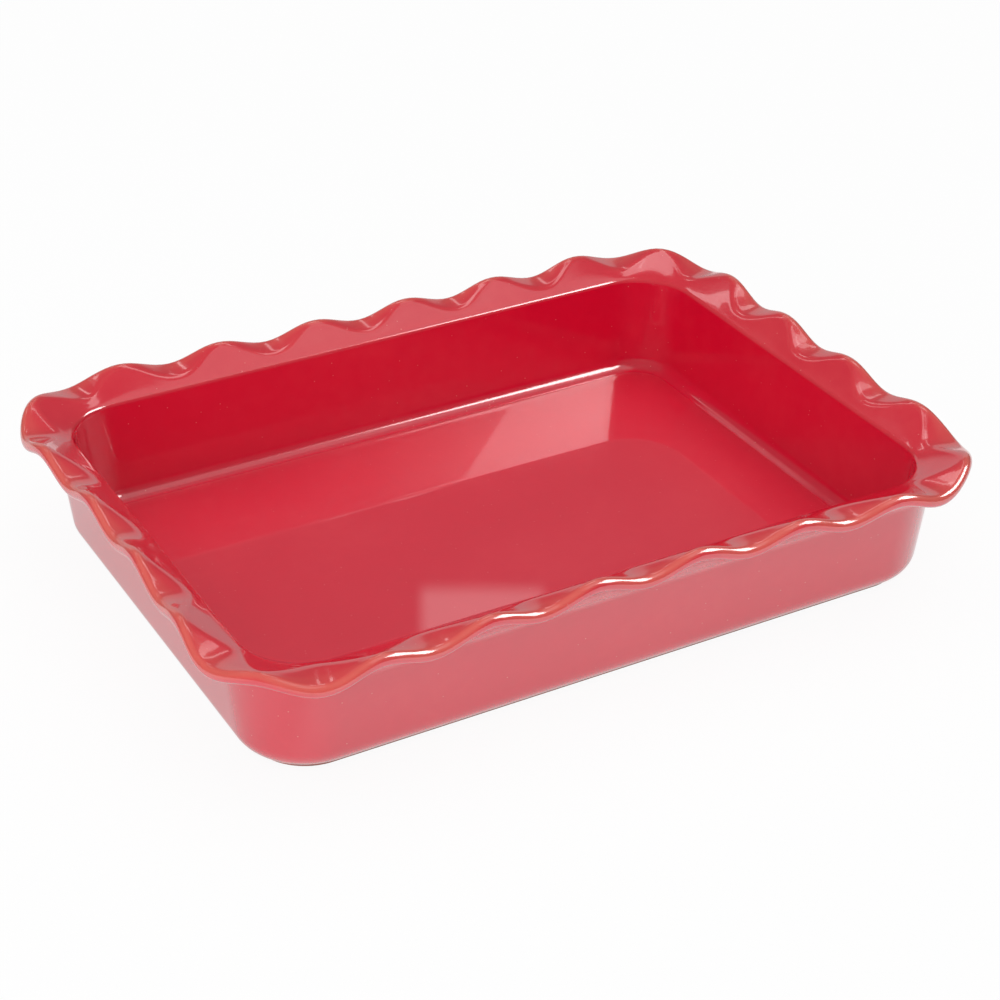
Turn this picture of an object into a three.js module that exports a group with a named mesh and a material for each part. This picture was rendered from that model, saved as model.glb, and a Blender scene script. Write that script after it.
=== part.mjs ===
// A rectangular stoneware baking dish with a ruffled rim, in millimetres, +Z up.
// It stands on the plane z = 0, with the origin under its middle and its long sides along X.
// The clay is one piece: floor, leaning walls, ruffled rim and a low foot ring. A coat of red glaze
// covers it inside, over the rim and down the outside to the foot, and a second, flat field of glaze
// lies in the shallow recess that the foot ring goes round. The foot itself is bare clay.

import * as THREE from 'three';

// The inside, measured on the finished glaze
const insideLength = 330.2;
const insideWidth = 236.9;
const insideDepth = 48.4;
const insideCornerRadius = 28.7;
const insideDraft = 7.8;
const coveRadius = 7;
const innerEdgeRadius = 3;

// Walls, floor and foot
const wallThickness = 9.2;
const outsideDraft = 6.4;
const heelRadius = 11;
const floorThickness = 5.6;
const footHeight = 1.6;
const footWidth = 7;
const footRound = 0.6;
const footSetback = 8;
const undersideRecess = 1.6;

// The rim: how far its rounded edge reaches out past the inner edge, and how far it rises above it,
// halfway along a long side, halfway along a short side and at a corner
const rimThickness = 6.4;
const rimReachLong = 15.1;
const rimReachShort = 16.1;
const rimReachCorner = 21.5;
const rimRiseLong = 6.8;
const rimRiseShort = 7.8;
const rimRiseCorner = 5.1;
const rimRootSlope = 30;
const rimUnderSlope = 15;
const rimUnderRadius = 4;

// The ruffle: whole waves from the middle of one corner to the next, with a crest on every corner
const wavesAlong = 7;
const wavesAcross = 5;
const waveHeight = 5.5;

// The crease between the sloping strip of the rim and its flatter outer part. It swings from near the
// inner edge at a trough to near the rounded edge at a crest, in shares of the strip's full length.
// Its bend takes no more than creaseRoom of the line on either side, and the strip starts with a short
// lead that is even all round.
const creaseMiddle = 0.62;
const creaseSwing = 0.3;
const creaseRound = 3;
const creaseRoom = 0.45;
const stripLead = 1;

// The glaze
const glazeThickness = 0.5;
const glazeSeat = 0.05;
const glazeStopAngle = 72;
const undersideMargin = 1.5;

// How finely curves are cut into flat faces
const stepsPerWave = 6;
const coveSteps = 4;
const innerEdgeSteps = 3;
const creaseSteps = 2;
const edgeSteps = 5;
const underRimSteps = 2;
const rootSteps = 3;
const heelSteps = 3;

const radians = THREE.MathUtils.degToRad;
const insideLean = radians(insideDraft);
const outsideLean = radians(outsideDraft);
const rootLean = radians(rimRootSlope);
const underLean = radians(rimUnderSlope);
const floorTop = undersideRecess + floorThickness;
const innerEdgeTop = floorTop + insideDepth;
const halfRim = rimThickness / 2;

// The dish in plan is a core rectangle with everything set out along the normals of its rounded outline.
// A station is one such normal: where it leaves the core, its direction, and where it is in the ruffle.
const coreX = insideLength / 2 - insideCornerRadius;
const coreY = insideWidth / 2 - insideCornerRadius;

function stationOnSide(turn, straight, across, waves, reachMiddle, riseMiddle, step) {
  const cornerRadius = insideCornerRadius + rimReachCorner;
  const halfCorner = cornerRadius * Math.PI / 4;
  const sideLength = straight + 2 * halfCorner;
  const along = sideLength * step / (waves * stepsPerWave);
  const before = Math.max(halfCorner - along, 0) / cornerRadius;
  const after = Math.max(along - halfCorner - straight, 0) / cornerRadius;
  const place = THREE.MathUtils.clamp(along - halfCorner, 0, straight) - straight / 2;
  const core = new THREE.Vector2(place, -across).rotateAround(new THREE.Vector2(), turn);
  const heading = turn - Math.PI / 2 - before + after;
  const normal = new THREE.Vector2(Math.cos(heading), Math.sin(heading));
  const fromMiddle = 2 * along / sideLength - 1;
  const middleShare = 1 - 1.25 * fromMiddle ** 2 + 0.25 * fromMiddle ** 10;
  return {
    core,
    normal,
    straight: before + after === 0,
    reach: THREE.MathUtils.lerp(rimReachCorner, reachMiddle, middleShare),
    rise: THREE.MathUtils.lerp(rimRiseCorner, riseMiddle, middleShare),
    wave: Math.cos(2 * Math.PI * step / stepsPerWave) * waveHeight / 2,
  };
}

function stationsAround() {
  const list = [];
  for (let side = 0; side < 4; side += 1) {
    const isLong = side % 2 === 0;
    const straight = 2 * (isLong ? coreX : coreY);
    const across = isLong ? coreY : coreX;
    const waves = isLong ? wavesAlong : wavesAcross;
    const reach = isLong ? rimReachLong : rimReachShort;
    const rise = isLong ? rimRiseLong : rimRiseShort;
    for (let step = 0; step < waves * stepsPerWave; step += 1) {
      list.push(stationOnSide(side * Math.PI / 2, straight, across, waves, reach, rise, step));
    }
  }
  return list;
}

const stations = stationsAround();
const everyStation = stations.map((station, index) => index);
// The walls are straight between the corners, so there they only need the stations round each corner.
const cornerStations = everyStation.filter((index) => {
  const count = stations.length;
  const around = [stations[(index + count - 1) % count], stations[index], stations[(index + 1) % count]];
  return around.some((station) => !station.straight);
});

// A cross-section lies in the plane of a station's normal: x is the way out from the inner edge of the
// rim, y is the height. It runs from the floor up the inside, over the rim and down the outside.
function arc(centre, radius, from, to, steps) {
  const points = [];
  for (let step = 0; step <= steps; step += 1) {
    const angle = from + (to - from) * step / steps;
    points.push(new THREE.Vector2(Math.cos(angle), Math.sin(angle)).multiplyScalar(radius).add(centre));
  }
  return points;
}

const insideWallAt = (height) => (height - innerEdgeTop) * Math.tan(insideLean);
const middleHeight = floorTop + insideDepth / 2;
const outsideWallAt = (height) =>
  insideWallAt(middleHeight) + wallThickness + (height - middleHeight) * Math.tan(outsideLean);

function insideSection() {
  const coveHeight = floorTop + coveRadius;
  const coveOut = insideWallAt(coveHeight) - coveRadius / Math.cos(insideLean);
  const cove = arc(new THREE.Vector2(coveOut, coveHeight), coveRadius, -Math.PI / 2, -insideLean, coveSteps);
  const edgeHeight = innerEdgeTop - innerEdgeRadius;
  const edgeOut = insideWallAt(edgeHeight) + innerEdgeRadius / Math.cos(insideLean);
  const edgeCentre = new THREE.Vector2(edgeOut, edgeHeight);
  const edge = arc(edgeCentre, innerEdgeRadius, Math.PI - insideLean, Math.PI / 2 + rootLean, innerEdgeSteps);
  return [...cove, ...edge];
}

function outsideSection() {
  const rootHeight = innerEdgeTop - rimThickness - rimUnderRadius * Math.cos(underLean);
  const rootOut = outsideWallAt(rootHeight) + rimUnderRadius / Math.cos(outsideLean);
  const rootCentre = new THREE.Vector2(rootOut, rootHeight);
  const root = arc(rootCentre, rimUnderRadius, Math.PI / 2 + underLean, Math.PI - outsideLean, rootSteps);
  const heel = arc(heelCentre(), heelRadius, -outsideLean, -radians(glazeStopAngle), heelSteps);
  return [...root, ...heel];
}

function heelCentre() {
  const height = footHeight + heelRadius;
  return new THREE.Vector2(outsideWallAt(height) - heelRadius / Math.cos(outsideLean), height);
}

// A smooth line between two points that leaves and arrives at given slopes, without its two ends
function easedLine(start, startSlope, end, endSlope, steps) {
  const handle = start.distanceTo(end) / 3;
  const leaving = new THREE.Vector2(Math.cos(startSlope), Math.sin(startSlope)).multiplyScalar(handle);
  const arriving = new THREE.Vector2(Math.cos(endSlope), Math.sin(endSlope)).multiplyScalar(handle);
  const line = new THREE.CubicBezierCurve(start, start.clone().add(leaving), end.clone().sub(arriving), end);
  return line.getPoints(steps).slice(1, -1);
}

// The slope of the line from a point on to the top of the rounded edge, which it touches
function slopeOnToEdge(start, edge) {
  const towards = edge.clone().sub(start);
  return towards.angle() + Math.asin(halfRim / towards.length());
}

const alongSlope = (slope, length) => new THREE.Vector2(length, 0).rotateAround(new THREE.Vector2(), slope);

// The ruffled rim at one station: a strip leaves the inner edge as steeply as the crests need, and a crease
// parts it from the flatter line on to the rounded edge, which the wave carries; then the way back underneath
function rimSection(station, innerEnd, outerStart) {
  const level = innerEdgeTop - halfRim + station.rise;
  const edge = new THREE.Vector2(station.reach, level + station.wave);
  const crest = new THREE.Vector2(station.reach, level + waveHeight / 2);
  const stripSlope = slopeOnToEdge(innerEnd, crest);
  const stripLength = Math.sqrt(innerEnd.distanceToSquared(crest) - halfRim ** 2);
  const share = creaseMiddle + creaseSwing * station.wave / (waveHeight / 2);
  const stripStart = innerEnd.clone().add(alongSlope(rootLean, stripLead));
  const crease = innerEnd.clone().add(alongSlope(stripSlope, stripLength * share));
  const slope = slopeOnToEdge(crease, edge);
  const round = arc(edge, halfRim, Math.PI / 2 + slope, slope - Math.PI / 2, edgeSteps);
  const shorter = Math.min(crease.distanceTo(innerEnd), crease.distanceTo(round[0]));
  const room = Math.min(creaseRound, shorter * creaseRoom);
  const bendStart = crease.clone().sub(alongSlope(stripSlope, room));
  const bendEnd = crease.clone().add(alongSlope(slope, room));
  const bend = new THREE.QuadraticBezierCurve(bendStart, crease, bendEnd).getPoints(creaseSteps);
  const under = easedLine(outerStart, underLean, round[edgeSteps], slope, underRimSteps).reverse();
  return [stripStart, ...bend, ...round, ...under];
}

// The section moved into the material by a depth, each point along the line's own normal
function inset(section, depth) {
  return section.map((point, index) => {
    const last = section[Math.max(index - 1, 0)];
    const next = section[Math.min(index + 1, section.length - 1)];
    const before = point.clone().sub(last).normalize();
    const after = next.clone().sub(point).normalize();
    const along = before.add(after).normalize();
    return new THREE.Vector2(point.x + along.y * depth, point.y - along.x * depth);
  });
}

const inside = insideSection();
const outside = outsideSection();
const rimCount = 1 + creaseSteps + 1 + edgeSteps + 1 + underRimSteps - 1;
const sections = stations.map((station) =>
  [...inside, ...rimSection(station, inside.at(-1), outside[0]), ...outside]);

// A ring is one point of every section, joined right round the dish. Rings on the rim use every station,
// rings on the walls only the stations at the corners.
function ringAt(station, point) {
  const out = insideCornerRadius + point.x;
  return new THREE.Vector3(
    station.core.x + station.normal.x * out,
    station.core.y + station.normal.y * out,
    point.y,
  );
}

function coatRings(depth) {
  const moved = sections.map((section) => inset(section, depth));
  const rings = moved[0].map((unused, row) => {
    const onRim = row >= inside.length && row < inside.length + rimCount;
    const used = onRim ? everyStation : cornerStations;
    return {
      used,
      points: used.map((index) => ringAt(stations[index], wallPoint(moved, index, row, onRim))),
    };
  });
  // The floor and the end of the coat are level and square to the surface.
  const floorHeight = floorTop - depth;
  rings[0].points.forEach((point) => point.setZ(floorHeight));
  return rings;
}

// Off the rim every station shares one section, taken from the corner, so that straight walls stay straight.
function wallPoint(moved, index, row, onRim) {
  return onRim ? moved[index][row] : moved[0][row];
}

function plainRing(out, height) {
  return {
    used: cornerStations,
    points: cornerStations.map((index) => ringAt(stations[index], new THREE.Vector2(out, height))),
  };
}

// A skin is rings in order, each stitched to the next. A skin that lines another is cut into the same faces
// as that one, but they are turned to face the other way.
function addSkin(skin, rings, lining) {
  const placed = rings.map((ring) => {
    const first = skin.corners.length;
    skin.corners.push(...ring.points);
    return { ...ring, first };
  });
  const faces = [];
  for (let row = 0; row + 1 < placed.length; row += 1) {
    faces.push(...stitch(placed[row], placed[row + 1]));
  }
  skin.faces.push(...(lining ? turned(faces) : faces));
  return placed;
}

const turned = (faces) => faces.map(([first, second, third]) => [first, third, second]);

// Two rings are walked together; the one whose next face comes first round the dish moves on.
function stitch(near, far) {
  const faces = [];
  const cornerOf = (ring, step) => ring.first + step % ring.used.length;
  const stationOf = (ring, step) =>
    ring.used[step % ring.used.length] + (step >= ring.used.length ? stations.length : 0);
  const halfway = (ring, step) => (stationOf(ring, step) + stationOf(ring, step + 1)) / 2;
  let nearStep = 0;
  let farStep = 0;
  while (nearStep < near.used.length || farStep < far.used.length) {
    const nearHere = cornerOf(near, nearStep);
    const farHere = cornerOf(far, farStep);
    const farLeft = farStep < far.used.length;
    const nearLeft = nearStep < near.used.length;
    if (nearLeft && !(farLeft && halfway(far, farStep) < halfway(near, nearStep))) {
      nearStep += 1;
      faces.push([nearHere, farHere, cornerOf(near, nearStep)]);
    } else {
      farStep += 1;
      faces.push([nearHere, farHere, cornerOf(far, farStep)]);
    }
  }
  return faces;
}

// A ring is filled from its middle, facing up.
function fill(skin, ring) {
  const middle = skin.corners.length;
  skin.corners.push(new THREE.Vector3(0, 0, ring.points[0].z));
  const count = ring.points.length;
  return ring.points.map((point, step) => [middle, ring.first + step, ring.first + (step + 1) % count]);
}

function geometryOf(skin) {
  const geometry = new THREE.BufferGeometry().setFromPoints(skin.corners);
  geometry.setIndex(skin.faces.flat());
  geometry.computeVertexNormals();
  return geometry;
}

// The clay: one skin from the middle of the floor right round to the middle of the underside
function claySolid() {
  const skin = { corners: [], faces: [] };
  const rings = addSkin(skin, [...coatRings(glazeThickness + glazeSeat), ...footRings()], false);
  skin.faces.push(...fill(skin, rings[0]), ...turned(fill(skin, rings.at(-1))));
  return geometryOf(skin);
}

// The coat: the finished surface and its lining, closed where the glaze stops above the foot
function coatSolid() {
  const skin = { corners: [], faces: [] };
  const finished = addSkin(skin, coatRings(0), false);
  const lining = addSkin(skin, coatRings(glazeThickness), true);
  skin.faces.push(...fill(skin, finished[0]), ...turned(fill(skin, lining[0])));
  skin.faces.push(...stitch(finished.at(-1), lining.at(-1)));
  return geometryOf(skin);
}

// Under the heel the clay carries on past the glaze: a foot ring with eased corners, then the recess.
function footRings() {
  const outer = heelCentre().x + heelRadius - footSetback;
  const inner = outer - footWidth;
  return [
    plainRing(outer, footHeight),
    plainRing(outer, footRound),
    plainRing(outer - footRound, 0),
    plainRing(inner + footRound, 0),
    plainRing(inner, footRound),
    plainRing(inner, undersideRecess),
  ];
}

function undersideField() {
  const inner = heelCentre().x + heelRadius - footSetback - footWidth - undersideMargin;
  const outline = plainRing(inner, 0).points.map((point) => new THREE.Vector2(point.x, point.y));
  const shape = new THREE.Shape(outline);
  const field = new THREE.ExtrudeGeometry(shape, { depth: glazeThickness, bevelEnabled: false });
  field.translate(0, 0, undersideRecess - glazeSeat - glazeThickness);
  return field;
}

const bareClay = new THREE.MeshStandardMaterial({ color: 0xe4d8c6, roughness: 0.85, metalness: 0 });
const redGlaze = new THREE.MeshStandardMaterial({ color: 0xc01230, roughness: 0.1, metalness: 0 });

function piece(name, geometry, material) {
  const mesh = new THREE.Mesh(geometry, material);
  mesh.name = name;
  return mesh;
}

const bakingDish = new THREE.Group();
bakingDish.name = 'baking_dish';
bakingDish.add(piece('stoneware_body', claySolid(), bareClay));
bakingDish.add(piece('glaze_coat', coatSolid(), redGlaze));
bakingDish.add(piece('underside_glaze', undersideField(), redGlaze));

export default bakingDish;
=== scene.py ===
# %% [markdown]
# # A red glazed baking dish with a ruffled rim
# The dish comes from a CAD frame: the clay body, its coat of glaze and the field of glaze underneath. This
# lesson models smooth pieces in their place, glazes them and photographs them in a small white studio.
# Everything is in metres. Sizes are written in millimetres, because that is how a potter measures.

# %% Load the frame
import math

import bmesh
import bpy
from mathutils import Matrix, Vector


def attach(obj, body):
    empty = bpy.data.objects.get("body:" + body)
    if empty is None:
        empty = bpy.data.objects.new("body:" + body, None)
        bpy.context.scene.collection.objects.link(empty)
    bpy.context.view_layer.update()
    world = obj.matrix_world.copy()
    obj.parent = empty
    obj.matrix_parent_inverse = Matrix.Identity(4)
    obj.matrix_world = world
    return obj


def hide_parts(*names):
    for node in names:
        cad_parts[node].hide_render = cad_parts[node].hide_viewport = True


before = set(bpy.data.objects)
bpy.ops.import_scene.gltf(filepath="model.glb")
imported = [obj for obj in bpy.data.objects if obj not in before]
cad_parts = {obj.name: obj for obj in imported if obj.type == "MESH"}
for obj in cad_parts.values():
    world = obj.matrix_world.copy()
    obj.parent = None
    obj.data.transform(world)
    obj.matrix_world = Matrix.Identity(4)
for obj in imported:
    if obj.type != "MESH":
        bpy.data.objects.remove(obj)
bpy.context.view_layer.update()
bpy.ops.object.select_all(action="DESELECT")
mm = 0.001

# %% [markdown]
# ## The camera
# A product photograph is taken from some way off with a long lens, so that the far side of the dish doesn't
# shrink too much. This camera stands a little over a metre away, to the left of the front, and looks down.

# %% Place the camera
camera_turn = math.radians(-29.48)
camera_height = math.radians(30.87)
camera_roll = math.radians(0.42)
camera_distance = 1114.2 * mm
look_right = 4.5 * mm
look_up = 20.4 * mm
look_lift = 1.6 * mm
sensor_width = 36
lens_in_widths = 2.3883

towards_camera = Vector((
    math.sin(camera_turn) * math.cos(camera_height),
    -math.cos(camera_turn) * math.cos(camera_height),
    math.sin(camera_height),
))
level_right = Vector((math.cos(camera_turn), math.sin(camera_turn), 0))
level_up = towards_camera.cross(level_right)
camera_right = level_right * math.cos(camera_roll) + level_up * math.sin(camera_roll)
camera_up = level_up * math.cos(camera_roll) - level_right * math.sin(camera_roll)

bpy.ops.object.camera_add()
camera = bpy.context.object
camera.name = "studio_camera"
camera.data.sensor_width = sensor_width
camera.data.lens = sensor_width * lens_in_widths
camera.data.clip_start = 0.05
place = towards_camera * camera_distance + camera_right * look_right + camera_up * look_up
place.z += look_lift
turned = Matrix((camera_right, camera_up, towards_camera)).transposed()
camera.matrix_world = Matrix.Translation(place) @ turned.to_4x4()
bpy.context.scene.camera = camera
print("camera at", [round(value, 3) for value in place])

# %% [markdown]
# ## Stations round the dish
# Seen from above the dish is a rectangle with rounded corners. Every wall, cove and edge keeps an even
# distance from that outline, so it is enough to know, at each station round it, where the outline is and
# which way is out. The ruffle is a cosine that runs along the stations with a crest on every corner. The
# rim reaches out furthest at the corners and stands highest at the middle of each side.

# %% Set out the stations
inside_length = 330.2
inside_width = 236.9
inside_corner_radius = 28.7
rim_reach_long = 15.1
rim_reach_short = 16.1
rim_reach_corner = 21.5
rim_rise_long = 6.8
rim_rise_short = 7.8
rim_rise_corner = 5.1
side_fall = 1.25
corner_ease = 0.25
waves_along = 7
waves_across = 5
wave_height = 5.5
steps_per_wave = 16


def station_on_side(turn, straight, across, waves, reach_middle, rise_middle, step):
    corner_radius = inside_corner_radius + rim_reach_corner
    half_corner = corner_radius * math.pi / 4
    side_length = straight + 2 * half_corner
    along = side_length * step / (waves * steps_per_wave)
    before = max(half_corner - along, 0) / corner_radius
    after = max(along - half_corner - straight, 0) / corner_radius
    slide = min(max(along - half_corner, 0), straight) - straight / 2
    core = Vector((slide, -across)) @ Matrix.Rotation(-turn, 2)
    heading = turn - math.pi / 2 - before + after
    from_middle = 2 * along / side_length - 1
    middle_share = 1 - side_fall * from_middle ** 2 + corner_ease * from_middle ** 10
    return {
        "core": core,
        "out": Vector((math.cos(heading), math.sin(heading))),
        "reach": rim_reach_corner + (reach_middle - rim_reach_corner) * middle_share,
        "rise": rim_rise_corner + (rise_middle - rim_rise_corner) * middle_share,
        "wave": math.cos(2 * math.pi * step / steps_per_wave) * wave_height / 2,
    }


core_x = inside_length / 2 - inside_corner_radius
core_y = inside_width / 2 - inside_corner_radius
stations = []
for side in range(4):
    long_side = side % 2 == 0
    side_waves = waves_along if long_side else waves_across
    for step in range(side_waves * steps_per_wave):
        stations.append(station_on_side(
            side * math.pi / 2,
            2 * (core_x if long_side else core_y),
            core_y if long_side else core_x,
            side_waves,
            rim_reach_long if long_side else rim_reach_short,
            rim_rise_long if long_side else rim_rise_short,
            step,
        ))
print("stations round the dish:", len(stations))

# %% [markdown]
# ## The cross-section of the walls
# Cut the dish across and the glaze shows one line: floor, cove, inner wall, the soft inner edge, the flange
# of the rim, the rounded outer edge, the underside of the rim, the outer wall and the heel. A mould maker
# draws that line with compasses and a ruler, and so does this cell, for all of it but the rim. A wall gets
# extra points close to its ends, so that smooth shading keeps it flat right up to the arcs.

# %% Draw the walls
inside_depth = 48.4
inside_draft = math.radians(7.8)
cove_radius = 7
cove_steps = 12
inner_edge_radius = 3
inner_edge_steps = 8
wall_thickness = 9.2
outside_draft = math.radians(6.4)
heel_radius = 11
heel_steps = 8
floor_thickness = 5.6
floor_border = 5
foot_height = 1.6
underside_recess = 1.6
rim_thickness = 6.4
rim_root_slope = math.radians(30)
rim_under_slope = math.radians(55)
rim_under_radius = 8
rim_under_steps = 6
glaze_stop_angle = math.radians(72)
shares_along_wall = (0.02, 0.25, 0.5, 0.75, 0.98)

floor_top = underside_recess + floor_thickness
inner_edge_top = floor_top + inside_depth
middle_height = floor_top + inside_depth / 2


def arc(centre, radius, start, end, steps):
    line = []
    for step in range(steps + 1):
        angle = start + (end - start) * step / steps
        out = centre[0] + radius * math.cos(angle)
        height = centre[1] + radius * math.sin(angle)
        line.append(Vector((out, height)))
    return line


def inside_wall_at(height):
    return (height - inner_edge_top) * math.tan(inside_draft)


def outside_wall_at(height):
    lean = (height - middle_height) * math.tan(outside_draft)
    return inside_wall_at(middle_height) + wall_thickness + lean


def flat_between(start, end):
    return [start.lerp(end, share) for share in shares_along_wall]


def inside_section():
    cove_height = floor_top + cove_radius
    cove_out = inside_wall_at(cove_height) - cove_radius / math.cos(inside_draft)
    border = Vector((cove_out - floor_border, floor_top))
    cove = arc((cove_out, cove_height), cove_radius, -math.pi / 2, -inside_draft, cove_steps)
    edge_height = inner_edge_top - inner_edge_radius
    edge_out = inside_wall_at(edge_height) + inner_edge_radius / math.cos(inside_draft)
    edge_start = math.pi - inside_draft
    edge_end = math.pi / 2 + rim_root_slope
    edge = arc((edge_out, edge_height), inner_edge_radius, edge_start, edge_end, inner_edge_steps)
    return [border] + cove + flat_between(cove[-1], edge[0]) + edge


def heel_centre():
    height = foot_height + heel_radius
    return Vector((outside_wall_at(height) - heel_radius / math.cos(outside_draft), height))


def outside_section():
    root_height = inner_edge_top - rim_thickness - rim_under_radius * math.cos(rim_under_slope)
    root_out = outside_wall_at(root_height) + rim_under_radius / math.cos(outside_draft)
    root_start = math.pi / 2 + rim_under_slope
    root_end = math.pi - outside_draft
    root = arc((root_out, root_height), rim_under_radius, root_start, root_end, rim_under_steps)
    heel = arc(heel_centre(), heel_radius, -outside_draft, -glaze_stop_angle, heel_steps)
    return root + flat_between(root[-1], heel[0]) + heel


inside_line = inside_section()
outside_line = outside_section()
print("points inside:", len(inside_line), "outside:", len(outside_line))

# %% [markdown]
# ## The cross-section of the rim
# This is the part that makes the dish. A sloping strip leaves the inner edge and runs up to a crease, where
# it bends into a flatter outer part that ends in the rounded edge. The crease swings out where the edge is
# high and in where it is low. So the rim can't be one line for the whole dish: each station draws its own.

# %% Draw the rim at every station
crease_middle = 0.62
crease_swing = 0.3
crease_round = 3
crease_room = 0.45
strip_steps = 4
bend_steps = 8
outer_steps = 3
rounded_steps = 14
under_steps = 5
half_rim = rim_thickness / 2
rim_kept_inside = 0.2
edge_radius = half_rim - rim_kept_inside


def slope_vector(slope):
    return Vector((math.cos(slope), math.sin(slope)))


def eased_line(start, start_slope, end, end_slope, steps):
    handle = (end - start).length / 3
    leave = start + handle * slope_vector(start_slope)
    arrive = end - handle * slope_vector(end_slope)
    line = []
    for step in range(1, steps):
        t = step / steps
        u = 1 - t
        line.append(start * u ** 3 + leave * 3 * u * u * t + arrive * 3 * u * t * t + end * t ** 3)
    return line


def straight_between(start, end, steps):
    return [start.lerp(end, step / steps) for step in range(1, steps)]


def bent_line(start, corner, end, steps):
    shares = [step / steps for step in range(steps + 1)]
    return [start.lerp(corner, t).lerp(corner.lerp(end, t), t) for t in shares]


def slope_on_to_edge(start, edge):
    towards = edge - start
    return math.atan2(towards.y, towards.x) + math.asin(edge_radius / towards.length)


def rim_section(station, inner_end, outer_start):
    level = inner_edge_top - half_rim + station["rise"]
    edge = Vector((station["reach"], level + station["wave"]))
    crest = Vector((station["reach"], level + wave_height / 2))
    strip_slope = slope_on_to_edge(inner_end, crest)
    strip_length = math.sqrt((crest - inner_end).length_squared - edge_radius ** 2)
    share = crease_middle + crease_swing * station["wave"] / (wave_height / 2)
    crease = inner_end + slope_vector(strip_slope) * strip_length * share
    slope = slope_on_to_edge(crease, edge)
    rounded = arc(edge, edge_radius, math.pi / 2 + slope, slope - math.pi / 2, rounded_steps)
    room_inside = (crease - inner_end).length * crease_room
    room_outside = (rounded[0] - crease).length * crease_room
    room = min(crease_round, room_inside, room_outside)
    bend_start = crease - slope_vector(strip_slope) * room
    bend_end = crease + slope_vector(slope) * room
    strip = eased_line(inner_end, rim_root_slope, bend_start, strip_slope, strip_steps)
    bend = bent_line(bend_start, crease, bend_end, bend_steps)
    outer = straight_between(bend_end, rounded[0], outer_steps)
    under = eased_line(outer_start, rim_under_slope, rounded[-1], slope, under_steps)[::-1]
    return strip + bend + outer + rounded + under


sections = []
for station in stations:
    rim_line = rim_section(station, inside_line[-1], outside_line[0])
    sections.append(inside_line + rim_line + outside_line)
print("points in the cross-section:", len(sections[0]), "of them on the rim:", len(rim_line))

# %% [markdown]
# ## Pulling a wall up ring by ring
# By hand this is a ring of edges that is extruded again and again: out along the cove, up the wall, over the
# rim and down the outside, with each new ring put where the cross-section says. A ring remembers which
# station each of its points belongs to, because extrude copies that number to the new points.

# %% Write the helpers that extrude rings
def point_on_dish(station, section_point):
    out = station["core"] + station["out"] * (inside_corner_radius + section_point.x)
    return Vector((out.x, out.y, section_point.y)) * mm


def rings_of(all_sections):
    return [[point_on_dish(s, section[row]) for s, section in zip(stations, all_sections)]
            for row in range(len(all_sections[0]))]


def first_ring(name, ring, thin_here):
    bpy.ops.object.select_all(action="DESELECT")
    bpy.ops.mesh.primitive_circle_add(vertices=len(ring), fill_type="NOTHING")
    piece = bpy.context.object
    piece.name = name
    piece.data.name = name
    bpy.ops.object.mode_set(mode="EDIT")
    edit = bmesh.from_edit_mesh(piece.data)
    number = edit.verts.layers.int.new("station")
    thin = edit.verts.layers.float.new("thin_glaze")
    edit.verts.ensure_lookup_table()
    corner, before = edit.verts[0], None
    for index, point in enumerate(ring):
        corner[number] = index
        corner[thin] = thin_here
        corner.co = point
        following = [edge.other_vert(corner) for edge in corner.link_edges]
        corner, before = next(v for v in following if v is not before), corner
    bmesh.update_edit_mesh(piece.data)
    bpy.ops.mesh.select_all(action="SELECT")
    return piece


def extruded_rings(name, rings, thinness):
    piece = first_ring(name, rings[0], thinness[0])
    for ring, thin_here in zip(rings[1:], thinness[1:]):
        bpy.ops.mesh.extrude_edges_indiv()
        edit = bmesh.from_edit_mesh(piece.data)
        number = edit.verts.layers.int["station"]
        thin = edit.verts.layers.float["thin_glaze"]
        for corner in edit.verts:
            if corner.select:
                corner.co = ring[corner[number]]
                corner[thin] = thin_here
        bmesh.update_edit_mesh(piece.data)
    bpy.ops.object.mode_set(mode="OBJECT")
    return piece


print("ready to extrude", len(sections[0]), "rings of", len(stations), "points")

# %% [markdown]
# ## The coat of glaze
# Melted glaze runs off round edges, so it lies thinnest along the outer edge and along the line above the
# foot where it was wiped off. Each ring stores how thin its glaze is, from 0 to 1, and the finish reads that
# number later.

# %% Extrude the rings of the glaze
thin_on_inner_edge = [0.0, 0.02, 0.05, 0.08, 0.12, 0.14, 0.14, 0.12, 0.12]
thin_on_strip = [0.1] * (strip_steps - 1)
thin_on_bend = [0.1, 0.12, 0.14, 0.16, 0.17, 0.17, 0.16, 0.16, 0.18]
thin_on_outer_part = [0.22, 0.35]
thin_on_rounded_edge = [0.4, 0.55, 0.68, 0.75, 0.75, 0.65, 0.5, 0.3, 0.1]
thin_above_foot = [0.1, 0.15, 0.25, 0.4, 0.6, 0.9]


def thin_by_row():
    values = [0.0] * (len(inside_line) - len(thin_on_inner_edge)) + thin_on_inner_edge
    values += thin_on_strip + thin_on_bend + thin_on_outer_part + thin_on_rounded_edge
    thick_rows = len(sections[0]) - len(values) - len(thin_above_foot)
    return values + [0.0] * thick_rows + thin_above_foot


glaze_rings = rings_of(sections)
glaze = extruded_rings("red_glaze", glaze_rings, thin_by_row())
print("red_glaze rings:", len(glaze_rings), "faces:", len(glaze.data.polygons))

# %% [markdown]
# ## Closing a ring and giving the coat its thickness
# The first ring lies on the flat floor, so one face closes it. The coat of glaze is half a millimetre
# thick: the Solidify modifier grows that thickness inwards from the finished surface and closes the edge
# where the glaze was wiped off above the foot. The points of the floor are then marked as worn, because
# that is where spoons and knives scrape.

# %% Fill the floor and thicken the coat
glaze_thickness = 0.5
glaze_seat = 0.05
same_height = 0.001 * mm


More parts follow.
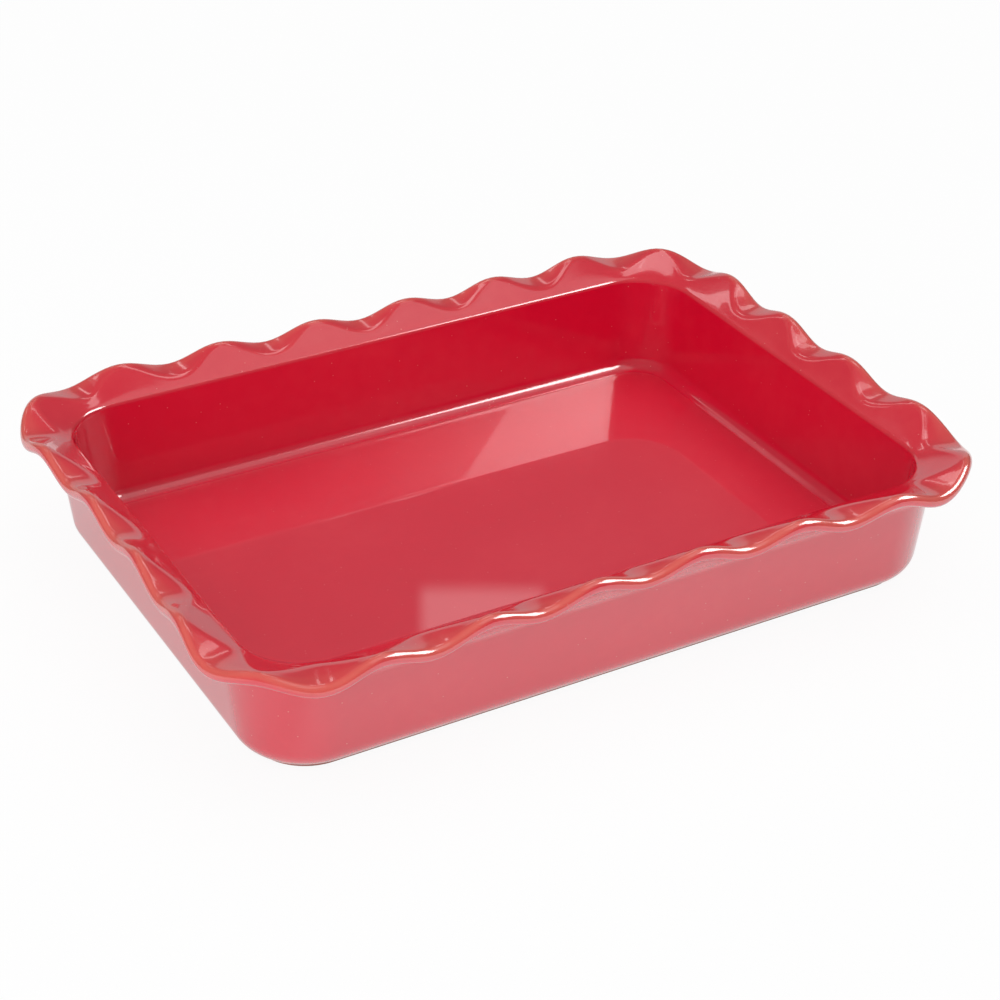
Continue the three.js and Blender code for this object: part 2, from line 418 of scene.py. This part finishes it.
def fill_open_ring(piece, height):
    bpy.ops.object.select_all(action="DESELECT")
    piece.select_set(True)
    bpy.context.view_layer.objects.active = piece
    bpy.ops.object.mode_set(mode="EDIT")
    bpy.ops.mesh.select_mode(type="EDGE")
    bpy.ops.mesh.select_all(action="DESELECT")
    edit = bmesh.from_edit_mesh(piece.data)
    for edge in edit.edges:
        level = all(abs(v.co.z - height * mm) < same_height for v in edge.verts)
        edge.select = edge.is_boundary and level
    bmesh.update_edit_mesh(piece.data)
    bpy.ops.mesh.edge_face_add()
    bpy.ops.mesh.select_mode(type="VERT")
    bpy.ops.object.mode_set(mode="OBJECT")


def face_outwards(piece):
    bpy.ops.object.mode_set(mode="EDIT")
    bpy.ops.mesh.select_all(action="SELECT")
    bpy.ops.mesh.normals_make_consistent(inside=False)
    bpy.ops.object.mode_set(mode="OBJECT")
    bpy.ops.object.shade_smooth()


fill_open_ring(glaze, floor_top)
face_outwards(glaze)
floor_face = max(glaze.data.polygons, key=lambda face: face.area)
if floor_face.normal.z < 0:
    glaze.data.flip_normals()
coat = glaze.modifiers.new("coat", "SOLIDIFY")
coat.thickness = glaze_thickness * mm
coat.offset = -1
bpy.ops.object.modifier_apply(modifier="coat")
worn_floor = glaze.data.attributes.new("worn_floor", "FLOAT", "POINT")
for corner in glaze.data.vertices:
    on_floor = abs(corner.co.z - floor_top * mm) < same_height
    worn_floor.data[corner.index].value = float(on_floor)
print("red_glaze with its lining:", len(glaze.data.polygons), "faces")

# %% [markdown]
# ## The clay under the glaze
# The real dish is cast in buff stoneware. Only the foot stays bare, because the glaze is wiped off it so
# that the dish doesn't stick to the kiln shelf. The clay follows the glaze a little further in, then goes
# on past it: round the heel, down the outside of the foot ring and up into the shallow recess inside it.

# %% Model the clay body
foot_width = 7
foot_round = 0.6
foot_setback = 8
foot_corner_steps = 4
recess_border = 4


def moved_in(section, depth):
    line = []
    for index, point in enumerate(section):
        last = section[max(index - 1, 0)]
        following = section[min(index + 1, len(section) - 1)]
        along = ((point - last).normalized() + (following - point).normalized()).normalized()
        line.append(Vector((point.x + along.y * depth, point.y - along.x * depth)))
    line[0].y = section[0].y - depth
    return line


def foot_corner(out, height, start, end):
    return arc((out, height), foot_round, start, end, foot_corner_steps)


def foot_section():
    outer = heel_centre().x + heel_radius - foot_setback
    inner = outer - foot_width
    quarter = math.pi / 2
    corner_out = foot_corner(outer - foot_round, foot_round, 0, -quarter)
    corner_in = foot_corner(inner + foot_round, foot_round, -quarter, -2 * quarter)
    hollow = foot_corner(inner - foot_round, underside_recess - foot_round, 0, quarter)
    first = Vector((outer, foot_height))
    last = Vector((inner - recess_border, underside_recess))
    return [first] + corner_out + corner_in + hollow + [last]


foot_line = foot_section()
clay_depth = glaze_thickness + glaze_seat
clay_sections = [moved_in(section, clay_depth) + foot_line for section in sections]
clay_rings = rings_of(clay_sections)
clay = extruded_rings("stoneware_clay", clay_rings, [0.0] * len(clay_rings))
fill_open_ring(clay, floor_top - glaze_thickness - glaze_seat)
fill_open_ring(clay, underside_recess)
face_outwards(clay)
print("stoneware_clay faces:", len(clay.data.polygons))

# %% [markdown]
# ## The field of glaze underneath
# Inside the foot ring the glazer leaves a second pool of the same red. It is thin and flat, and surface
# tension rounds its edge.

# %% Model the underside glaze
underside_margin = 1.5
field_border = 4
field_round = 0.3
field_round_steps = 4
field_thinness = [0.3, 0.6, 0.6, 0.5, 0.4, 0.2, 0.1, 0.0]
field_edge = foot_line[-1].x + recess_border - foot_round - underside_margin
field_top = underside_recess - glaze_seat
field_low = field_top - glaze_thickness
field_line = [Vector((field_edge - field_border, field_top)), Vector((field_edge, field_top))]
round_centre = (field_edge - field_round, field_low + field_round)
field_line += arc(round_centre, field_round, 0, -math.pi / 2, field_round_steps)
field_line += [Vector((field_edge - field_border, field_low))]
field_rings = rings_of([field_line] * len(stations))
field = extruded_rings("underside_red_glaze", field_rings, field_thinness)
fill_open_ring(field, field_top)
fill_open_ring(field, field_low)
face_outwards(field)
print("underside_red_glaze faces:", len(field.data.polygons))

# %% [markdown]
# ## Effects that the finishes share
# Two node groups hold what more than one finish needs. Fired mottle is a slow drift of tone, as thick and
# thin spots leave in a kiln. Fired specks are the sparse pinholes and grains that every stoneware surface
# has. Both read Object coordinates, which are the metres of the frame, so a speck keeps its real size.

# %% Build the shared node groups
broad_share = 0.65
fine_share = 0.35


def new_group(name, inputs, outputs):
    group = bpy.data.node_groups.new(name, "ShaderNodeTree")
    for socket, value in inputs:
        made = group.interface.new_socket(socket, in_out="INPUT", socket_type="NodeSocketFloat")
        made.default_value = value
    for socket in outputs:
        group.interface.new_socket(socket, in_out="OUTPUT", socket_type="NodeSocketFloat")
    return group, group.nodes.new("NodeGroupInput"), group.nodes.new("NodeGroupOutput")


def add_node(tree, kind, **values):
    node = tree.nodes.new(kind)
    for name, value in values.items():
        setattr(node, name, value)
    return node


def fired_mottle():
    group, given, result = new_group("fired_mottle", [("Broad", 18), ("Fine", 160)], ["Tone"])
    place = add_node(group, "ShaderNodeTexCoord")
    broad = add_node(group, "ShaderNodeTexNoise")
    broad.inputs["Detail"].default_value = 3
    fine = add_node(group, "ShaderNodeTexNoise")
    fine.inputs["Detail"].default_value = 4
    blend = add_node(group, "ShaderNodeMath", operation="MULTIPLY_ADD")
    blend.inputs[1].default_value = fine_share
    scaled = add_node(group, "ShaderNodeMath", operation="MULTIPLY")
    scaled.inputs[1].default_value = broad_share
    group.links.new(place.outputs["Object"], broad.inputs["Vector"])
    group.links.new(place.outputs["Object"], fine.inputs["Vector"])
    group.links.new(given.outputs["Broad"], broad.inputs["Scale"])
    group.links.new(given.outputs["Fine"], fine.inputs["Scale"])
    group.links.new(broad.outputs["Fac"], scaled.inputs[0])
    group.links.new(fine.outputs["Fac"], blend.inputs[0])
    group.links.new(scaled.outputs[0], blend.inputs[2])
    group.links.new(blend.outputs[0], result.inputs["Tone"])
    return group


def fired_specks():
    inputs = [("Scale", 500), ("Size", 0.12), ("Rarity", 0.7)]
    group, given, result = new_group("fired_specks", inputs, ["Specks"])
    place = add_node(group, "ShaderNodeTexCoord")
    cells = add_node(group, "ShaderNodeTexVoronoi")
    dot = add_node(group, "ShaderNodeMapRange", interpolation_type="SMOOTHSTEP")
    dot.inputs["To Min"].default_value = 1
    dot.inputs["To Max"].default_value = 0
    pick = add_node(group, "ShaderNodeSeparateColor")
    chosen = add_node(group, "ShaderNodeMath", operation="GREATER_THAN")
    both = add_node(group, "ShaderNodeMath", operation="MULTIPLY")
    group.links.new(place.outputs["Object"], cells.inputs["Vector"])
    group.links.new(given.outputs["Scale"], cells.inputs["Scale"])
    group.links.new(cells.outputs["Distance"], dot.inputs["Value"])
    group.links.new(given.outputs["Size"], dot.inputs["From Max"])
    group.links.new(cells.outputs["Color"], pick.inputs["Color"])
    group.links.new(pick.outputs["Red"], chosen.inputs[0])
    group.links.new(given.outputs["Rarity"], chosen.inputs[1])
    group.links.new(dot.outputs["Result"], both.inputs[0])
    group.links.new(chosen.outputs[0], both.inputs[1])
    group.links.new(both.outputs[0], result.inputs["Specks"])
    return group


mottle_group = fired_mottle()
specks_group = fired_specks()
print("shared groups:", mottle_group.name, specks_group.name)

# %% [markdown]
# ## Small helpers for node trees
# A finish is a tree of nodes, and most of them only mix, scale or add. These helpers make one such node,
# link it and hand back its output, so that a finish reads as a few lines from colour to shader.

# %% Write the node helpers
def new_finish(name):
    finish = bpy.data.materials.new(name)
    finish.use_nodes = True
    return finish, finish.node_tree, finish.node_tree.nodes["Principled BSDF"]


def place_group(tree, group, **values):
    node = add_node(tree, "ShaderNodeGroup", node_tree=group)
    for name, value in values.items():
        node.inputs[name].default_value = value
    return node


def mixed_colour(tree, amount, first, second):
    mix = add_node(tree, "ShaderNodeMix", data_type="RGBA")
    for socket, value in ((mix.inputs[6], first), (mix.inputs[7], second)):
        if isinstance(value, tuple):
            socket.default_value = (*value, 1)
        else:
            tree.links.new(value, socket)
    tree.links.new(amount, mix.inputs[0])
    return mix.outputs[2]


def scaled_value(tree, value, factor, added=0.0):
    node = add_node(tree, "ShaderNodeMath", operation="MULTIPLY_ADD")
    node.inputs[1].default_value = factor
    node.inputs[2].default_value = added
    tree.links.new(value, node.inputs[0])
    return node.outputs[0]


def noise_value(tree, place, scale, detail):
    node = add_node(tree, "ShaderNodeTexNoise")
    node.inputs["Scale"].default_value = scale
    node.inputs["Detail"].default_value = detail
    tree.links.new(place, node.inputs["Vector"])
    return node.outputs["Fac"]


def summed(tree, first, second, clamp=False):
    node = add_node(tree, "ShaderNodeMath", operation="ADD", use_clamp=clamp)
    tree.links.new(first, node.inputs[0])
    tree.links.new(second, node.inputs[1])
    return node.outputs[0]


def bumped(tree, shader, height, strength, distance):
    bump = add_node(tree, "ShaderNodeBump")
    bump.inputs["Strength"].default_value = strength
    bump.inputs["Distance"].default_value = distance
    tree.links.new(height, bump.inputs["Height"])
    tree.links.new(bump.outputs["Normal"], shader.inputs["Normal"])


print("node helpers ready")

# %% [markdown]
# ## The red glaze
# A thick glossy glaze is a clear glass over a stained layer, so the shader has a coat over a glossy base.
# Where the glaze runs thin, on the round edges, the stain breaks to a warm salmon: the thin_glaze number of
# each ring says where. The worn floor is a satin under its gloss. A fine bump gives the orange peel that
# makes reflections a little grainy, and a slow one the ripple that makes their edges wander.

# %% Make the red glaze
deep_red = (0.66, 0.002, 0.026)
full_red = (0.78, 0.005, 0.038)
thin_salmon = (0.78, 0.15, 0.11)
pale_speck = (0.9, 0.35, 0.32)
speck_strength = 0.6
tone_swing = 0.225
smooth_glaze = 0.1
roughness_drift = 0.12
floor_wear = 0.24
peel_scale = 800
peel_height = 0.1
ripple_scale = 28
ripple_height = 0.2
speck_height = 0.05
glaze_bump = 0.4 * mm


def red_glaze_finish():
    finish, tree, shader = new_finish("glossy_red_glaze")
    place = add_node(tree, "ShaderNodeTexCoord").outputs["Object"]
    tone = place_group(tree, mottle_group, Broad=14, Fine=140).outputs["Tone"]
    specks = place_group(tree, specks_group, Scale=300, Size=0.13, Rarity=0.78).outputs["Specks"]
    thin = add_node(tree, "ShaderNodeAttribute", attribute_name="thin_glaze").outputs["Fac"]
    worn = add_node(tree, "ShaderNodeAttribute", attribute_name="worn_floor").outputs["Fac"]
    uneven = scaled_value(tree, tone, tone_swing, -tone_swing / 2)
    broken = summed(tree, thin, uneven, clamp=True)
    stain = mixed_colour(tree, tone, deep_red, full_red)
    warm = mixed_colour(tree, broken, stain, thin_salmon)
    speckled = mixed_colour(tree, scaled_value(tree, specks, speck_strength), warm, pale_speck)
    tree.links.new(speckled, shader.inputs["Base Color"])
    drift = scaled_value(tree, tone, roughness_drift, smooth_glaze)
    satin = summed(tree, drift, scaled_value(tree, worn, floor_wear))
    tree.links.new(satin, shader.inputs["Roughness"])
    peel = scaled_value(tree, noise_value(tree, place, peel_scale, 3), peel_height)
    ripple = scaled_value(tree, noise_value(tree, place, ripple_scale, 1), ripple_height)
    height = summed(tree, summed(tree, peel, ripple), scaled_value(tree, specks, speck_height))
    bumped(tree, shader, height, 1, glaze_bump)
    shader.inputs["IOR"].default_value = 1.8
    shader.inputs["Coat Weight"].default_value = 1
    shader.inputs["Coat Roughness"].default_value = 0.02
    shader.inputs["Coat IOR"].default_value = 1.7
    return finish


red_glaze = red_glaze_finish()
for piece, node in ((glaze, "glaze_coat"), (field, "underside_glaze")):
    piece.data.materials.append(red_glaze)
    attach(piece, "root")
    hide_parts(node)
print("glazed:", glaze.name, field.name)

# %% [markdown]
# ## The bare clay
# Fired stoneware is matt and a little sandy. It is paler where the sponge has dragged fine clay over it, and
# dark iron specks show through. Above its lowest 0.4 mm the clay is painted a deep rosy red: painted shadow
# for the dark line under the heel.

# %% Make the bare clay
dark_buff = (0.58, 0.46, 0.33)
pale_buff = (0.82, 0.73, 0.6)
iron_speck = (0.3, 0.18, 0.1)
iron_strength = 0.7
# Painted shadow on the bare clay, standing in for the dark shade line under the heel:
rosy_painted_shadow = (0.36, 0.08, 0.09)
painted_shadow_strength = 0.75
painted_shadow_height = 0.4 * mm
clay_roughness = 0.7
clay_roughness_drift = 0.2
grain_scale = 1500
iron_pit = -0.5
clay_bump_strength = 0.6
clay_bump = 0.15 * mm


def bare_clay_finish():
    finish, tree, shader = new_finish("bare_buff_clay")
    place = add_node(tree, "ShaderNodeTexCoord").outputs["Object"]
    tone = place_group(tree, mottle_group, Broad=40, Fine=420).outputs["Tone"]
    specks = place_group(tree, specks_group, Scale=420, Size=0.22, Rarity=0.8).outputs["Specks"]
    buff = mixed_colour(tree, tone, dark_buff, pale_buff)
    speckled = mixed_colour(tree, scaled_value(tree, specks, iron_strength), buff, iron_speck)
    # Painted shadow: above Z = 0.4 mm the buff turns three quarters of the way to rosy red, for the shade
    # under the heel.
    height = add_node(tree, "ShaderNodeSeparateXYZ")
    tree.links.new(place, height.inputs[0])
    painted_shadow_mask = add_node(tree, "ShaderNodeMapRange", interpolation_type="SMOOTHSTEP")
    painted_shadow_mask.inputs["From Max"].default_value = painted_shadow_height
    painted_shadow_mask.inputs["To Max"].default_value = painted_shadow_strength
    tree.links.new(height.outputs["Z"], painted_shadow_mask.inputs["Value"])
    shadowed_clay = mixed_colour(tree, painted_shadow_mask.outputs["Result"], speckled, rosy_painted_shadow)
    tree.links.new(shadowed_clay, shader.inputs["Base Color"])
    matt = scaled_value(tree, tone, clay_roughness_drift, clay_roughness)
    tree.links.new(matt, shader.inputs["Roughness"])
    grain = noise_value(tree, place, grain_scale, 4)
    pitted = summed(tree, grain, scaled_value(tree, specks, iron_pit))
    bumped(tree, shader, pitted, clay_bump_strength, clay_bump)
    return finish


clay.data.materials.append(bare_clay_finish())
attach(clay, "root")
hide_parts("stoneware_body")
print("bare:", clay.name)

# %% [markdown]
# ## The white table
# The dish stands on a white table that runs out of the picture on every side. The camera sees it nearly as
# plain white, by way of Light Path, and the glaze sees it half so. The rest is its real shading, so that
# the dish keeps a soft shadow. Left of the dish the table is painted darker, but only in reflections: a
# painted dark reflection, like a grey card beside a glossy thing, that deepens the colour of the glaze.

# %% Lay the table
table_size = 8
table_grey = 0.9
plain_to_camera = 0.93
plain_in_reflections = 0.5
# Painted dark reflection on the table left of the dish:
dark_reflection_start = 150 * mm
dark_reflection_full = 180 * mm
painted_reflection_darkness = 0.18
bpy.ops.object.select_all(action="DESELECT")
bpy.ops.mesh.primitive_plane_add(size=table_size)
table = bpy.context.object
table.name = "white_table"


def white_table_finish():
    finish = bpy.data.materials.new("white_table")
    finish.use_nodes = True
    tree = finish.node_tree
    tree.nodes.remove(tree.nodes["Principled BSDF"])
    shaded = add_node(tree, "ShaderNodeBsdfDiffuse")
    shaded.inputs["Color"].default_value = (table_grey, table_grey, table_grey, 1)
    plain = add_node(tree, "ShaderNodeEmission")
    plain.inputs["Color"].default_value = (1, 1, 1, 1)
    plain.inputs["Strength"].default_value = 1
    path = add_node(tree, "ShaderNodeLightPath")
    by_camera = scaled_value(tree, path.outputs["Is Camera Ray"], plain_to_camera)
    in_glaze = scaled_value(tree, path.outputs["Is Glossy Ray"], plain_in_reflections)
    mix = add_node(tree, "ShaderNodeMixShader")
    tree.links.new(summed(tree, by_camera, in_glaze), mix.inputs["Fac"])
    tree.links.new(shaded.outputs["BSDF"], mix.inputs[1])
    tree.links.new(plain.outputs["Emission"], mix.inputs[2])
    place = add_node(tree, "ShaderNodeSeparateXYZ")
    tree.links.new(add_node(tree, "ShaderNodeTexCoord").outputs["Object"], place.inputs[0])
    # Painted dark reflection: left of x = -150 mm the table turns up to 18% darker, in glossy rays only.
    dark_reflection_mask = add_node(tree, "ShaderNodeMapRange", interpolation_type="SMOOTHSTEP")
    dark_reflection_mask.inputs["From Min"].default_value = dark_reflection_start
    dark_reflection_mask.inputs["From Max"].default_value = dark_reflection_full
    dark_reflection_mask.inputs["To Max"].default_value = painted_reflection_darkness
    tree.links.new(scaled_value(tree, place.outputs["X"], -1), dark_reflection_mask.inputs["Value"])
    seen = add_node(tree, "ShaderNodeMath", operation="MULTIPLY")
    tree.links.new(dark_reflection_mask.outputs["Result"], seen.inputs[0])
    tree.links.new(path.outputs["Is Glossy Ray"], seen.inputs[1])
    darkened_in_reflections = add_node(tree, "ShaderNodeMixShader")
    tree.links.new(seen.outputs[0], darkened_in_reflections.inputs["Fac"])
    tree.links.new(mix.outputs["Shader"], darkened_in_reflections.inputs[1])
    tree.links.new(darkened_in_reflections.outputs["Shader"], tree.nodes["Material Output"].inputs["Surface"])
    return finish


table.data.materials.append(white_table_finish())
print("table:", [round(side, 2) for side in table.dimensions])

# %% [markdown]
# ## One panel of the studio
# A glossy glaze shows its surroundings, so the studio is part of the finish. Its walls are written into the
# world as bright panels with soft edges. One panel is a node group that reads the direction a ray goes, as
# a compass turn and a height in degrees, with turn 0 in front of the dish and 90 on its right.

# %% Build the panel group
panel_inputs = [
    ("Turn", 0),
    ("Half Width", 30),
    ("Height", 30),
    ("Half Height", 20),
    ("Soft", 12),
    ("Brightness", 1),
]


def studio_panel():
    group, given, result = new_group("studio_panel", panel_inputs, ["Light"])
    direction = add_node(group, "ShaderNodeSeparateXYZ")
    looking = add_node(group, "ShaderNodeTexCoord").outputs["Generated"]
    group.links.new(looking, direction.inputs[0])

    def worked(operation, *values):
        node = add_node(group, "ShaderNodeMath", operation=operation)
        for socket, value in zip(node.inputs, values):
            if isinstance(value, (int, float)):
                socket.default_value = value
            else:
                group.links.new(value, socket)
        return node.outputs[0]

    def fading(value, half):
        edge = add_node(group, "ShaderNodeMapRange", interpolation_type="SMOOTHSTEP")
        edge.inputs["To Min"].default_value = 1
        edge.inputs["To Max"].default_value = 0
        group.links.new(worked("ABSOLUTE", value), edge.inputs["Value"])
        group.links.new(half, edge.inputs["From Min"])
        group.links.new(worked("ADD", half, given.outputs["Soft"]), edge.inputs["From Max"])
        return edge.outputs["Result"]

    forwards = worked("MULTIPLY", direction.outputs["Y"], -1)
    turn = worked("DEGREES", worked("ARCTAN2", direction.outputs["X"], forwards))
    height = worked("DEGREES", worked("ARCSINE", direction.outputs["Z"]))
    aside = worked("WRAP", worked("SUBTRACT", turn, given.outputs["Turn"]), 180, -180)
    above = worked("SUBTRACT", height, given.outputs["Height"])
    across = fading(aside, given.outputs["Half Width"])
    upright = fading(above, given.outputs["Half Height"])
    inside = worked("MULTIPLY", across, upright)
    group.links.new(worked("MULTIPLY", inside, given.outputs["Brightness"]), result.inputs["Light"])
    return group


panel_group = studio_panel()
print("panel group:", panel_group.name)

# %% [markdown]
# ## The studio round the dish
# The room is dim, so that the inner walls stay a deep red. A pale ceiling hangs over the right side and a
# low pale wall stands behind. A narrow window and two slits behind the dish draw thin lines where its
# surface turns, as along the coves and the rim.

# %% Put the panels into the world
dim_room = 0.12
studio_panels = {
    "ceiling": {
        "Turn": 60, "Half Width": 40, "Height": 66, "Half Height": 14,
        "Soft": 8, "Brightness": 0.4,
    },
    "back wall": {
        "Turn": 158, "Half Width": 28, "Height": 6, "Half Height": 14,
        "Soft": 6, "Brightness": 0.28,
    },
    "window": {
        "Turn": 151, "Half Width": 1.5, "Height": 50, "Half Height": 16.75,
        "Soft": 0.5, "Brightness": 1.0,
    },
    "near slit": {
        "Turn": 170, "Half Width": 1.5, "Height": 41, "Half Height": 5,
        "Soft": 0.5, "Brightness": 1.4,
    },
    "far slit": {
        "Turn": -170, "Half Width": 1.5, "Height": 41, "Half Height": 5,
        "Soft": 0.5, "Brightness": 1.4,
    },
}


def studio_world():
    world = bpy.data.worlds.new("small_studio")
    bpy.context.scene.world = world
    world.use_nodes = True
    tree = world.node_tree
    light = None
    for values in studio_panels.values():
        panel = add_node(tree, "ShaderNodeGroup", node_tree=panel_group)
        for name, value in values.items():
            panel.inputs[name].default_value = value
        light = summed(tree, light, panel.outputs["Light"]) if light else panel.outputs["Light"]
    background = tree.nodes["Background"]
    background.inputs["Color"].default_value = (1, 1, 1, 1)
    tree.links.new(scaled_value(tree, light, 1, dim_room), background.inputs["Strength"])


studio_world()
bpy.context.scene.view_settings.view_transform = "Standard"
print("studio panels:", ", ".join(studio_panels))

# %% [markdown]
# ## Four lamps
# Two lamps only show in the glaze. The wide soft box on the right draws the white streaks on the edges and
# the bright patches on the floor of the dish, and a small one behind adds to the sheen of the rim. The other
# two only light its colour: a broad one overhead, and one low in front for the near walls. Hiding a lamp
# from diffuse or from glossy rays is what keeps the two jobs apart. A lamp's brightness is written as its
# surface would render, and turned into watts: a flat lamp of area A that shines as bright as B gives
# pi x A x B.

# %% Hang the lamps
def soft_box(name, turn, height, distance, width, tall, brightness):
    turn = math.radians(turn)
    height = math.radians(height)
    level = math.cos(height)
    towards = Vector((math.sin(turn) * level, -math.cos(turn) * level, math.sin(height)))
    bpy.ops.object.light_add(type="AREA", location=towards * distance)
    lamp = bpy.context.object
    lamp.name = name
    lamp.rotation_euler = towards.to_track_quat("Z", "Y").to_euler()
    lamp.data.shape = "RECTANGLE"
    lamp.data.size = width
    lamp.data.size_y = tall
    lamp.data.energy = brightness * math.pi * width * tall
    return lamp


key = soft_box(
    "wide_soft_box", turn=67.5, height=44.5, distance=1.8, width=1.25, tall=0.66, brightness=7.2)
key.visible_diffuse = False
back_light = soft_box(
    "back_soft_box", turn=145, height=61, distance=1.8, width=0.6, tall=0.3, brightness=1.0)
back_light.visible_diffuse = False
fill = soft_box(
    "overhead_fill", turn=0, height=88, distance=2.2, width=5, tall=5, brightness=1.05)
fill.visible_glossy = False
front_fill = soft_box(
    "front_fill", turn=-50, height=18, distance=2.2, width=3, tall=1.4, brightness=1.9)
front_fill.visible_glossy = False
